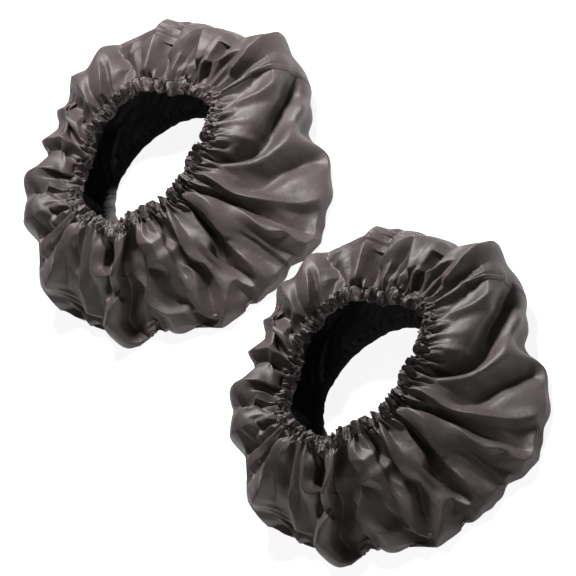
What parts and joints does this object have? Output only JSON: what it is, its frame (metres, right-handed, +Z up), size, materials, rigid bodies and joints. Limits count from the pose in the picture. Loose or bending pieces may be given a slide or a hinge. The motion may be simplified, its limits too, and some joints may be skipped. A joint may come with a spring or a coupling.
{
  "type": "wheel cover set",
  "caption": "Set of elasticated fabric tyre covers: gathered, open-centred sleeves that wrap a wheel's tread and both sidewalls, lying slack.",
  "frame": {"origin": "on the floor, midway between the two covers", "axes": "+Y from cover 2 to cover 1; +Z up, along the axis of each wheel opening"},
  "size_m": [0.6358, 1.4228, 0.167],
  "materials": {
    "taffeta": "crumpled satin",
    "elastic": "woven",
    "thread": "satin"
  },
  "bodies": {
    "cover1_base": {"cover1_back_sidewall": "taffeta", "cover1_tread_wall": "taffeta", "cover1_back_hem": "taffeta", "cover1_back_elastic": "elastic", "cover1_back_elastic_join": "thread", "cover1_back_hem_thread": "thread", "cover1_tread_seam": "taffeta", "cover1_back_seam": "taffeta"},
    "cover1_front": {"cover1_front_sidewall": "taffeta", "cover1_front_hem": "taffeta", "cover1_front_elastic": "elastic", "cover1_front_elastic_join": "thread", "cover1_front_hem_thread": "thread", "cover1_front_seam": "taffeta"},
    "cover2_base": {"cover2_back_sidewall": "taffeta", "cover2_tread_wall": "taffeta", "cover2_back_hem": "taffeta", "cover2_back_elastic": "elastic", "cover2_back_elastic_join": "thread", "cover2_back_hem_thread": "thread", "cover2_tread_seam": "taffeta", "cover2_back_seam": "taffeta"},
    "cover2_front": {"cover2_front_sidewall": "taffeta", "cover2_front_hem": "taffeta", "cover2_front_elastic": "elastic", "cover2_front_elastic_join": "thread", "cover2_front_hem_thread": "thread", "cover2_front_seam": "taffeta"}
  },
  "joints": [
    {"name": "cover2_lift", "type": "slide", "parent": "cover1_base", "child": "cover2_base", "axis": [0, 0, 1], "range_m": [0, 0.3]},
    {"name": "cover1_front_slide", "type": "slide", "parent": "cover1_base", "child": "cover1_front", "axis": [0, 0, 1], "range_m": [-0.085, 0.03], "deforming": ["cover1_tread_wall", "cover1_tread_seam"]},
    {"name": "cover2_front_slide", "type": "slide", "parent": "cover2_base", "child": "cover2_front", "axis": [0, 0, 1], "range_m": [-0.085, 0.03], "deforming": ["cover2_tread_wall", "cover2_tread_seam"]}
  ]
}
